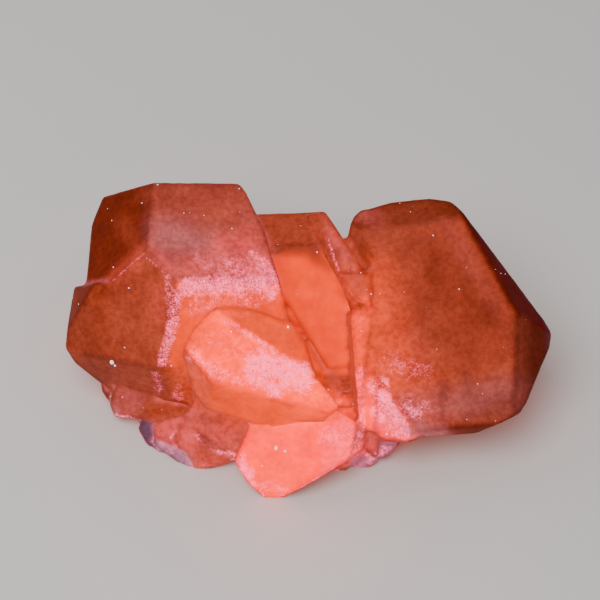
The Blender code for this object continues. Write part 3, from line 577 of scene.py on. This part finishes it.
class DustSettings(bpy.types.PropertyGroup):
    """The dust that lies on the crystals."""

    count: IntProperty(
        name="Specks",
        description="How many specks lie on the crystals",
        default=90,
        min=0,
    )
    size: FloatProperty(
        name="Speck Size",
        description="Usual width of a speck",
        default=0.20 * MM,
        unit="LENGTH",
        precision=5,
    )
    colour: FloatVectorProperty(
        name="Speck Colour",
        description="Colour of the dust",
        default=(0.92, 0.78, 0.88),
        subtype="COLOR",
        size=3,
        min=0.0,
        max=1.0,
    )


class StageSettings(bpy.types.PropertyGroup):
    """The floor and lights."""

    floor: FloatVectorProperty(
        name="Floor Colour",
        description="Colour of the floor",
        default=(0.74, 0.73, 0.72),
        subtype="COLOR",
        size=3,
        min=0.0,
        max=1.0,
    )
    key: FloatProperty(
        name="Key Light",
        description="Power of the main soft light",
        default=2.6,
        unit="POWER",
    )
    fill: FloatProperty(
        name="Fill Light",
        description="Power of the weak light on the other side",
        default=0.35,
        unit="POWER",
    )
    sky: FloatProperty(
        name="Sky",
        description="Strength of the even light all round",
        default=0.38,
    )


def dense_copy(source, name, grain):
    """The solid remade as an even fine mesh."""
    mesh = bmesh.new()
    mesh.from_mesh(source.data)
    bmesh.ops.remove_doubles(mesh, verts=mesh.verts, dist=WELD_WIDTH)
    data = bpy.data.meshes.new(name)
    mesh.to_mesh(data)
    mesh.free()
    data.materials.clear()
    piece = bpy.data.objects.new(name, data)
    bpy.context.scene.collection.objects.link(piece)
    remesh = piece.modifiers.new("even", "REMESH")
    remesh.mode = "VOXEL"
    remesh.voxel_size = grain
    remesh.use_smooth_shade = True
    shaped = piece.evaluated_get(bpy.context.evaluated_depsgraph_get())
    fine = bpy.data.meshes.new_from_object(shaped)
    piece.modifiers.clear()
    piece.data = fine
    return piece


def blended(mesh, values, passes):
    """Values at the corners of a mesh, each moved halfway to the mean of its neighbours."""
    ends = np.empty(len(mesh.edges) * 2, np.int64)
    mesh.edges.foreach_get("vertices", ends)
    one, two = ends.reshape(-1, 2).T
    count = len(mesh.vertices)
    links = np.bincount(one, minlength=count) + np.bincount(two, minlength=count)
    columns = values.reshape(count, -1).astype(float)
    for _ in range(passes):
        for axis in range(columns.shape[1]):
            column = columns[:, axis]
            total = np.bincount(one, column[two], count) + np.bincount(two, column[one], count)
            columns[:, axis] = 0.5 * column + 0.5 * total / np.maximum(links, 1)
    return columns.reshape(values.shape)


def on_plane(places):
    """Where each place is seen on the layout plane: u, v and w in millimetres."""
    offset = places - np.array(LAYOUT_CENTRE)
    depth = offset @ np.array(TO_EYE)
    wider = EYE_DISTANCE / (EYE_DISTANCE - depth) / MM
    across = offset @ np.array(ALONG) * wider
    up = offset @ np.array(UP_PLANE) * wider
    return np.stack([across, up, depth / MM], axis=1)


def strip(seen, start, end):
    """How far each place lies, as seen, from a line on the layout, in millimetres."""
    first = np.array(start)
    run = np.array(end) - first
    away = seen[:, :2] - first
    share = np.clip(away @ run / max(run @ run, 1e-9), 0.0, 1.0)
    return np.linalg.norm(away - share[:, None] * run, axis=1)


# How sharply a named face's colour keeps to its own direction, and to its own plane.
DIRECTION_KEEPING = 60.0
PLANE_KEEPING = 0.5 * MM


def face_share(places, flats, spot, slope, reach):
    """How much each place takes after one flat face: near it and facing the same way."""
    offset = places - np.array(on_layout(*spot))
    normal = np.array(facing(slope))
    near = 1.0 - ramp(np.linalg.norm(offset, axis=1), 0.85 * reach * MM, reach * MM)
    unlike = DIRECTION_KEEPING * (1.0 - flats @ normal)
    return near * np.exp(-unlike - np.abs(offset @ normal) / PLANE_KEEPING)


STRIPE_SQUEEZE = 0.93


def striped(places, along, wavelength, seed):
    """Noise drawn out along a direction, for growth lines."""
    axis = np.array(along) / np.linalg.norm(along)
    run = places @ axis
    squeezed = places - STRIPE_SQUEEZE * run[:, None] * axis
    return noise(squeezed, wavelength, seed)


# Slopes of the two faces that carry growth lines, and how deep the lines are.
FRONT_SLOPE = (0.05, 0.05)
BANDED_SLOPE = (0.19, -0.85)
BAND_RUN = (1.0, 0.2, 0.1)
STREAK_DEPTH = 0.02 * MM
BAND_DEPTH = 0.05 * MM
# How far the fine mesh is drawn in, so that nothing stands out past the plain solid.
INSET = 0.18 * MM


def shape_surface(piece, facts, settings):
    """Rolls, etches and nicks the fine mesh, and notes what the material needs."""
    mesh = piece.data
    places = blended(mesh, positions(mesh), 1)
    normals = directions(mesh)
    flats, looks, to_ridge, to_cleft, to_outer = facts.at(places, normals)
    on_cut = ramp(places[:, 2], 0.6 * MM, 0.15 * MM)
    swell = settings.swell * (
        noise(places, 9.0 * MM, 3) + 0.5 * noise(places, 4.0 * MM, 4)
    )
    etch = settings.etching * (
        noise(places, 1.9 * MM, 5) + 0.6 * noise(places, 1.0 * MM, 6)
    )
    near = 1.0 - ramp(to_ridge, 0.2 * MM, 1.5 * MM)
    ragged = ramp(noise(places, 2.6 * MM, 7) + 0.6 * noise(places, 1.2 * MM, 8), -0.1, 0.9)
    nick = settings.edge_wear * near * ragged
    front = ramp(flats @ np.array(facing(FRONT_SLOPE)), 0.97, 0.99)
    streaks = striped(places, UP_PLANE, 2.2 * MM, 9) * front * STREAK_DEPTH
    lines = striped(places, BAND_RUN, 1.1 * MM, 10)
    banded = ramp(flats @ np.array(facing(BANDED_SLOPE)), 0.97, 0.99) * lines * BAND_DEPTH
    move = (swell + etch + streaks + banded - nick) * (1.0 - on_cut)
    inward = INSET * (1.0 - on_cut)
    moved = places + normals * (move - inward)[:, None]
    moved[:, 2] = np.maximum(moved[:, 2], 0.0)
    mesh.vertices.foreach_set("co", moved.ravel())
    mesh.update()
    seen_share = ramp(blended(mesh, facts.in_sight(places, looks), 10), 0.0, 0.5)
    return places, looks, to_ridge, to_cleft, to_outer, ragged, seen_share


def face_colours(places, flats, to_outer, seen_share):
    """The tint and calmness of each place from its flat face, whose tint holds painted light and shade;
    unnamed faces take a mixed orange.
    """
    level = lattice(np.round(flats * 6.0), 21)[:, None]
    plain = np.log(np.array(TINTS["rust"])) * level + np.log(np.array(TINTS["clay"])) * (1.0 - level)
    total = UNNAMED_SHARE * plain
    weight = np.full(len(places), UNNAMED_SHARE)
    calm = np.zeros(len(places))
    for spot, slope, reach, name in FACE_TINTS_WITH_PAINTED_SHADE:
        share = face_share(places, flats, spot, slope, reach)
        total += share[:, None] * np.log(np.array(TINTS[name]))
        calm += share * CALMNESS.get(name, 0.0)
        weight += share
    turned = ramp(flats @ np.array(TO_EYE), 0.05, -0.05) * ramp(to_outer, 0.6 * MM, 5.0 * MM)
    turned = np.maximum(turned, ramp(seen_share, 0.6, 0.1))
    named = (1.0 - turned[:, None]) * total / weight[:, None]
    return np.exp(named + turned[:, None] * plain), calm / weight


def paint(piece, settings, worked):
    """Stores each corner's tint, frost and calmness for the material."""
    places, flats, to_ridge, to_cleft, to_outer, ragged, seen_share = worked
    seen = on_plane(places)
    tint, calm = face_colours(places, flats, to_outer, seen_share)
    front = ramp(flats @ np.array(TO_EYE), 0.25, 0.6) * seen_share
    drift = noise(places, 5.0 * MM, 22) + 0.5 * noise(places, 2.0 * MM, 27)
    for start, end, reach, name, strength in CLOUDS:
        near = 1.0 - ramp(strip(seen, start, end) + drift * min(1.2, 0.35 * reach), 0.0, 1.6 * reach)
        share = (strength * near * front)[:, None]
        tint = tint * (1.0 - share) + np.array(TINTS[name]) * share
    cloud = noise(places, 7.0 * MM, 23) + 0.7 * noise(places, 2.6 * MM, 24)
    tint *= np.exp(0.10 * cloud * (1.0 - 0.7 * calm))[:, None]
    frost = np.zeros(len(places))
    wander = 0.9 * noise(places, 2.2 * MM, 25) + 0.6 * noise(places, 1.1 * MM, 26)
    for start, end, reach, strength, least in FROST_AND_RIDGE_HIGHLIGHTS:
        edge = strip(seen, start, end) + wander * min(1.0, 0.4 * reach)
        near = (1.0 - ramp(edge, 0.0, 1.6 * reach)) * (seen[:, 2] > least)
        frost = np.maximum(frost, strength * near * front)
    rim = (1.0 - ramp(to_ridge, 0.1 * MM, 0.5 * MM)) * (0.05 + 0.30 * ragged)
    frost = np.clip(np.maximum(frost, rim), 0.0, 1.0)
    # painted shade: the tint darkened along the clefts between crystals, and the frost thinned there
    shade = 1.0 - ramp(to_cleft, 0.0, 0.7 * MM)
    tint *= np.exp(-0.42 * shade)[:, None]
    # painted highlight: a thin pale rim along the outer edges that are in sight
    painted_rim_highlight = (1.0 - ramp(to_outer, 0.2 * MM, 0.8 * MM)) * (0.6 + 0.4 * ragged) * seen_share
    tint += painted_rim_highlight[:, None] * (0.30 * tint + np.array(PAINTED_RIM_LIGHT))
    frost *= 1.0 - 0.5 * shade
    colours = np.ones((len(places), 4), np.float32)
    colours[:, :3] = blended(piece.data, tint, 2) * settings.brightness
    layer = piece.data.color_attributes.new("tint", "FLOAT_COLOR", "POINT")
    layer.data.foreach_set("color", colours.ravel())
    for name, values in (("frost", blended(piece.data, frost, 1)), ("calm", calm)):
        store = piece.data.attributes.new(name, "FLOAT", "POINT")
        store.data.foreach_set("value", values.astype(np.float32))


# ---------------------------------------------------------------- materials


class NodeBench:
    """Short calls that add and join shader nodes."""

    def __init__(self, name):
        self.material = bpy.data.materials.new(name)
        self.material.use_nodes = True
        self.tree = self.material.node_tree
        self.shader = self.tree.nodes["Principled BSDF"]

    def node(self, kind, **values):
        """A node with its settings."""
        made = self.tree.nodes.new(kind)
        for key, value in values.items():
            setattr(made, key, value)
        return made

    def join(self, source, target):
        """A link between two sockets."""
        self.tree.links.new(source, target)

    def layer(self, name):
        """A stored value or colour of the mesh."""
        return self.node("ShaderNodeAttribute", attribute_name=name)

    def texture_place(self):
        """The object's own coordinates."""
        return self.node("ShaderNodeTexCoord").outputs["Object"]

    def grains(self, place, scale, detail=2.0, roughness=0.5):
        """A noise texture."""
        made = self.node("ShaderNodeTexNoise")
        made.inputs["Scale"].default_value = scale
        made.inputs["Detail"].default_value = detail
        made.inputs["Roughness"].default_value = roughness
        self.join(place, made.inputs["Vector"])
        return made.outputs["Fac"]

    def span(self, value, low, high, out_low=0.0, out_high=1.0):
        """A value moved from one range to another."""
        made = self.node("ShaderNodeMapRange", interpolation_type="SMOOTHSTEP")
        made.inputs["From Min"].default_value = low
        made.inputs["From Max"].default_value = high
        made.inputs["To Min"].default_value = out_low
        made.inputs["To Max"].default_value = out_high
        self.join(value, made.inputs["Value"])
        return made.outputs["Result"]

    def sum(self, kind, one, two):
        """Two values added, multiplied and so on; either may be a number."""
        made = self.node("ShaderNodeMath", operation=kind)
        for socket, value in zip(made.inputs, (one, two)):
            if isinstance(value, (int, float)):
                socket.default_value = value
            else:
                self.join(value, socket)
        return made.outputs[0]

    def mix(self, share, one, two, kind="MIX"):
        """Two colours mixed; each may be a colour or a socket."""
        made = self.node("ShaderNodeMix", data_type="RGBA", blend_type=kind)
        if isinstance(share, (int, float)):
            made.inputs["Factor"].default_value = share
        else:
            self.join(share, made.inputs["Factor"])
        for name, value in (("A", one), ("B", two)):
            sockets = [s for s in made.inputs if s.name == name and s.type == "RGBA"]
            if isinstance(value, (tuple, list)):
                sockets[0].default_value = value
            else:
                self.join(value, sockets[0])
        return [s for s in made.outputs if s.type == "RGBA"][0]


def calcite_material(settings):
    """Orange calcite: cloudy tint, speckled frost, etched gloss and a painted glow that stands in for
    its fluorescence.
    """
    bench = NodeBench("calcite_crystal")
    place = bench.texture_place()
    shader = bench.shader
    tint = bench.layer("tint").outputs["Color"]
    frost = bench.layer("frost").outputs["Fac"]
    calm = bench.sum("MULTIPLY", bench.layer("calm").outputs["Fac"], 0.8)
    fine = bench.grains(place, 3600.0, detail=2.0, roughness=0.7)
    medium = bench.grains(place, 1000.0, detail=3.0, roughness=0.6)
    cloudy = bench.grains(place, 260.0, detail=3.0)
    # fine dark and light grains in the colour
    grain = bench.mix(bench.span(medium, 0.3, 0.7), (0.84, 0.79, 0.76, 1.0), (1.17, 1.15, 1.12, 1.0))
    grain = bench.mix(calm, grain, (1.0, 1.0, 1.0, 1.0))
    warm = bench.mix(bench.span(cloudy, 0.3, 0.7), (0.90, 0.86, 0.84, 1.0), (1.10, 1.10, 1.08, 1.0))
    body = bench.mix(1.0, bench.mix(1.0, tint, grain, kind="MULTIPLY"), warm, kind="MULTIPLY")
    # frost is a soft bloom, mottled finely where it is thin
    mottle = bench.sum("ADD", bench.sum("MULTIPLY", medium, 0.3), bench.sum("MULTIPLY", fine, 0.7))
    cover = bench.sum("ADD", frost, bench.sum("MULTIPLY", bench.sum("SUBTRACT", mottle, 0.5), 4.2))
    cover = bench.span(bench.sum("MULTIPLY", cover, bench.span(frost, 0.0, 0.45)), 0.15, 1.5, 0.0, 0.85)
    white = tuple(settings.frost) + (1.0,)
    reflected = bench.mix(1.0, body, (0.5, 0.5, 0.5, 1.0), kind="MULTIPLY")
    bench.join(bench.mix(cover, reflected, white), shader.inputs["Base Color"])
    # painted glow: the body's tint, and the pale pink where frosted, given off as light of the
    # crystals' own
    bloom = (5.6, 0.14, 0.85, 1.0)
    bench.join(bench.mix(cover, body, bloom), shader.inputs["Emission Color"])
    shader.inputs["Emission Strength"].default_value = settings.painted_glow_share
    rough = bench.span(medium, 0.3, 0.7, 0.30, 0.46)
    rough = bench.sum("ADD", rough, bench.sum("MULTIPLY", cover, 0.30))
    bench.join(rough, shader.inputs["Roughness"])
    # etched skin and fine grain as bump
    cells = bench.node("ShaderNodeTexVoronoi", feature="SMOOTH_F1")
    cells.inputs["Scale"].default_value = 1100.0
    bench.join(place, cells.inputs["Vector"])
    height = bench.sum("ADD", bench.sum("MULTIPLY", medium, 0.8), cells.outputs["Distance"])
    height = bench.sum("ADD", height, bench.sum("MULTIPLY", fine, 0.35))
    bump = bench.node("ShaderNodeBump")
    bump.inputs["Strength"].default_value = 0.25
    bump.inputs["Distance"].default_value = 0.2 * MM
    bench.join(height, bump.inputs["Height"])
    bench.join(bump.outputs["Normal"], shader.inputs["Normal"])
    shader.inputs["IOR"].default_value = 1.6
    shader.inputs["Specular IOR Level"].default_value = 0.04
    shader.inputs["Subsurface Weight"].default_value = 0.2
    shader.inputs["Subsurface Radius"].default_value = (1.0, 0.25, 0.1)
    shader.inputs["Subsurface Scale"].default_value = 2.0 * MM
    return bench.material


def dust_material(settings):
    """Pale dust with a slight mottle and a painted glow, so that the specks shine like glints."""
    bench = NodeBench("pale_dust_and_painted_glint")
    place = bench.texture_place()
    shade = bench.span(bench.grains(place, 900.0), 0.35, 0.65)
    pale = tuple(settings.colour) + (1.0,)
    dull = tuple(0.7 * value for value in settings.colour) + (1.0,)
    bench.join(bench.mix(shade, dull, pale), bench.shader.inputs["Base Color"])
    bench.shader.inputs["Roughness"].default_value = 0.8
    # painted glint: the dust gives off its own pale light
    bench.shader.inputs["Emission Color"].default_value = pale
    bench.shader.inputs["Emission Strength"].default_value = 1.0
    return bench.material


def floor_material(settings):
    """A plain pale floor."""
    bench = NodeBench("pale_floor")
    bench.shader.inputs["Base Color"].default_value = tuple(settings.floor) + (1.0,)
    bench.shader.inputs["Roughness"].default_value = 0.7
    return bench.material


# ---------------------------------------------------------------- operators


class CALCITE_OT_crystals(bpy.types.Operator):
    """Makes the crystals' worn, etched and frosted surface"""

    bl_idname = "calcite.crystals"
    bl_label = "Crystals"

    def execute(self, context):
        """Builds the fine surface in place of the plain solid."""
        settings = context.scene.calcite_crystals
        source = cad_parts[CLUSTER_NODE]
        facts = SolidFacts(source)
        piece = dense_copy(source, "calcite_crystals", settings.grain)
        if len(piece.data.vertices) == 0:
            raise RuntimeError("the fine surface came out empty")
        worked = shape_surface(piece, facts, settings)
        paint(piece, settings, worked)
        piece.data.materials.append(calcite_material(settings))
        piece.data.shade_smooth()
        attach(piece, "root")
        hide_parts(CLUSTER_NODE)
        return {"FINISHED"}


DUST_SEED = 5
DUST_TRIES = 20
DUST_LEAST_RISE = 0.25
DUST_SIZES = (0.4, 1.4)
DUST_SHAPES = (0.6, 1.4)


def add_speck(mesh, spot, radius, draw):
    """Adds one uneven speck at a spot."""
    fresh = bmesh.ops.create_icosphere(mesh, subdivisions=1, radius=radius)["verts"]
    flat = Vector([draw.uniform(*DUST_SHAPES) for _ in range(3)])
    for vertex in fresh:
        vertex.co = Vector(a * b for a, b in zip(vertex.co, flat)) + spot


class CALCITE_OT_dust(bpy.types.Operator):
    """Scatters fine dust over the crystals"""

    bl_idname = "calcite.dust"
    bl_label = "Dust"

    def execute(self, context):
        """Lays each speck on the surface below a drawn point."""
        settings = context.scene.calcite_dust
        surface = bpy.data.objects.get("calcite_crystals")
        if surface is None:
            raise RuntimeError("make the crystals before the dust")
        tree = BVHTree.FromObject(surface, context.evaluated_depsgraph_get())
        draw = random.Random(DUST_SEED)
        low, high = CAD_BOX
        mesh = bmesh.new()
        eye = LAYOUT_CENTRE + EYE_DISTANCE * TO_EYE
        for u, v, width in KNOWN_SPECKS:
            spot = tree.ray_cast(eye, (on_layout(u, v) - eye).normalized())[0]
            if spot is not None:
                add_speck(mesh, spot, 0.5 * width * MM, draw)
        made = 0
        for _ in range(DUST_TRIES * settings.count):
            if made >= settings.count:
                break
            start = Vector((draw.uniform(low.x, high.x), draw.uniform(low.y, high.y), high.z + MM))
            spot, normal, _, _ = tree.ray_cast(start, Vector((0.0, 0.0, -1.0)))
            if spot is None or normal.z < DUST_LEAST_RISE or spot.z > high.z - settings.size:
                continue
            add_speck(mesh, spot, 0.5 * settings.size * draw.uniform(*DUST_SIZES), draw)
            made += 1
        data = bpy.data.meshes.new("dust_specks")
        mesh.to_mesh(data)
        mesh.free()
        data.shade_smooth()
        data.materials.append(dust_material(settings))
        piece = bpy.data.objects.new("dust_specks", data)
        context.scene.collection.objects.link(piece)
        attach(piece, "root")
        return {"FINISHED"}


FLOOR_HALF = 3.0
SKY_COLOUR = (1.0, 0.98, 0.97, 1.0)
# The lights: name, azimuth and rise in degrees, distance and size in metres, colour.
KEY_LIGHT = ("key", 330.0, 62.0, 0.60, 0.45, (1.0, 0.97, 0.95))
FILL_LIGHT = ("fill", 250.0, 40.0, 0.5, 0.3, (0.95, 0.95, 1.0))


def soft_light(name, azimuth, rise, distance, size, colour, power):
    """An area light that looks at the middle of the cluster."""
    turn = math.radians(azimuth)
    lift = math.radians(rise)
    away = Vector((math.sin(turn) * math.cos(lift), -math.cos(turn) * math.cos(lift), math.sin(lift)))
    lamp = bpy.data.lights.new(name, "AREA")
    lamp.shape = "DISK"
    lamp.size = size
    lamp.energy = power
    lamp.color = colour
    item = bpy.data.objects.new(name, lamp)
    item.location = LAYOUT_CENTRE + distance * away
    item.rotation_euler = (-away).to_track_quat("-Z", "Y").to_euler()
    bpy.context.scene.collection.objects.link(item)


class CALCITE_OT_stage(bpy.types.Operator):
    """Makes the floor, the soft lights and the camera"""

    bl_idname = "calcite.stage"
    bl_label = "Stage"

    def execute(self, context):
        """Builds the stage."""
        settings = context.scene.calcite_stage
        mesh = bmesh.new()
        bmesh.ops.create_grid(mesh, x_segments=1, y_segments=1, size=FLOOR_HALF)
        data = bpy.data.meshes.new("floor")
        mesh.to_mesh(data)
        mesh.free()
        data.materials.append(floor_material(settings))
        floor = bpy.data.objects.new("floor", data)
        context.scene.collection.objects.link(floor)
        soft_light(*KEY_LIGHT, settings.key)
        soft_light(*FILL_LIGHT, settings.fill)
        world = bpy.data.worlds.new("sky")
        world.use_nodes = True
        sky = world.node_tree.nodes["Background"]
        sky.inputs["Color"].default_value = SKY_COLOUR
        sky.inputs["Strength"].default_value = settings.sky
        context.scene.world = world
        lens = bpy.data.cameras.new("camera")
        lens.sensor_width = SENSOR_WIDTH
        lens.lens = SENSOR_WIDTH * EYE_DISTANCE / FRAME_WIDTH
        lens.clip_start = 0.01
        lens.clip_end = 10.0
        camera = bpy.data.objects.new("camera", lens)
        camera.location = LAYOUT_CENTRE + EYE_DISTANCE * TO_EYE
        camera.rotation_euler = (-TO_EYE).to_track_quat("-Z", "Y").to_euler()
        context.scene.collection.objects.link(camera)
        context.scene.camera = camera
        return {"FINISHED"}


class CALCITE_PT_panel(bpy.types.Panel):
    """The cluster's steps and settings"""

    bl_label = "Calcite Cluster"
    bl_idname = "CALCITE_PT_panel"
    bl_space_type = "VIEW_3D"
    bl_region_type = "UI"
    bl_category = "Calcite"

    def draw(self, context):
        """Lists each step with its settings."""
        scene = context.scene
        for step, group in (
            ("calcite.crystals", scene.calcite_crystals),
            ("calcite.dust", scene.calcite_dust),
            ("calcite.stage", scene.calcite_stage),
        ):
            box = self.layout.box()
            box.operator(step)
            for name in group.__annotations__:
                box.prop(group, name)


CLASSES = (
    CrystalSettings,
    DustSettings,
    StageSettings,
    CALCITE_OT_crystals,
    CALCITE_OT_dust,
    CALCITE_OT_stage,
    CALCITE_PT_panel,
)


def register():
    """Adds the classes and their settings."""
    for item in CLASSES:
        bpy.utils.register_class(item)
    bpy.types.Scene.calcite_crystals = PointerProperty(type=CrystalSettings)
    bpy.types.Scene.calcite_dust = PointerProperty(type=DustSettings)
    bpy.types.Scene.calcite_stage = PointerProperty(type=StageSettings)


def unregister():
    """Removes the classes and their settings."""
    del bpy.types.Scene.calcite_crystals
    del bpy.types.Scene.calcite_dust
    del bpy.types.Scene.calcite_stage
    for item in reversed(CLASSES):
        bpy.utils.unregister_class(item)


def main():
    """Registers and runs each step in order."""
    register()
    bpy.ops.calcite.crystals()
    bpy.ops.calcite.dust()
    bpy.ops.calcite.stage()


if __name__ == "__main__":
    main()
